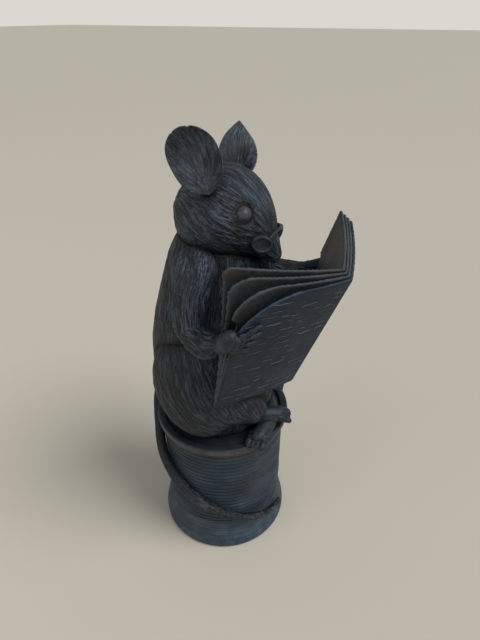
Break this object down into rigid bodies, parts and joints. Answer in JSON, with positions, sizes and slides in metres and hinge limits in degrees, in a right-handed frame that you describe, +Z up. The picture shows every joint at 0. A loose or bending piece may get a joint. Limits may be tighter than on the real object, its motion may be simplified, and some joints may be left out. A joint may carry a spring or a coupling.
{
  "type": "mouse figurine",
  "caption": "Seated mouse in spectacles reading an open folded newspaper on a round thread reel, its tail wrapped round the reel; a standing ornament with a flat base.",
  "frame": {"origin": "centre of the flat underside of the reel's foot", "axes": "+Z up from the table through the reel, the mouse faces -Y, its right side is at -X"},
  "size_m": [0.0864, 0.0905, 0.1994],
  "materials": {
    "fur": "cast resin, dark blue-grey patina with brown in the grooves, satin",
    "skin": "cast resin, dark brown-grey patina, satin",
    "eyes": "smooth, low gloss",
    "spectacles": "cast resin, dark patina, satin",
    "newspaper": "cast resin, dark blue-grey patina over brown, satin",
    "reel": "cast resin, dark brown patina, satin",
    "thread": "cast resin, near-black patina, satin",
    "dowel": "plain beech rod"
  },
  "bodies": {
    "root": {"arm_left": "fur", "arm_right": "fur", "ear_left": "fur", "ear_right": "fur", "eye_left": "eyes", "eye_right": "eyes", "foot_left": "skin", "foot_right": "skin", "hand_left": "skin", "hand_right": "skin", "head": "fur", "leg_left": "fur", "leg_right": "fur", "lens_left": "spectacles", "lens_right": "spectacles", "newspaper_inner_sheet": "newspaper", "newspaper_outer_sheet": "newspaper", "newspaper_second_sheet": "newspaper", "newspaper_third_sheet": "newspaper", "reel_core": "reel", "reel_foot": "reel", "reel_rim": "reel", "seat_dowel": "dowel", "spectacle_frame": "spectacles", "tail": "skin", "thread_winding": "thread", "torso": "fur"}
  },
  "joints": []
}
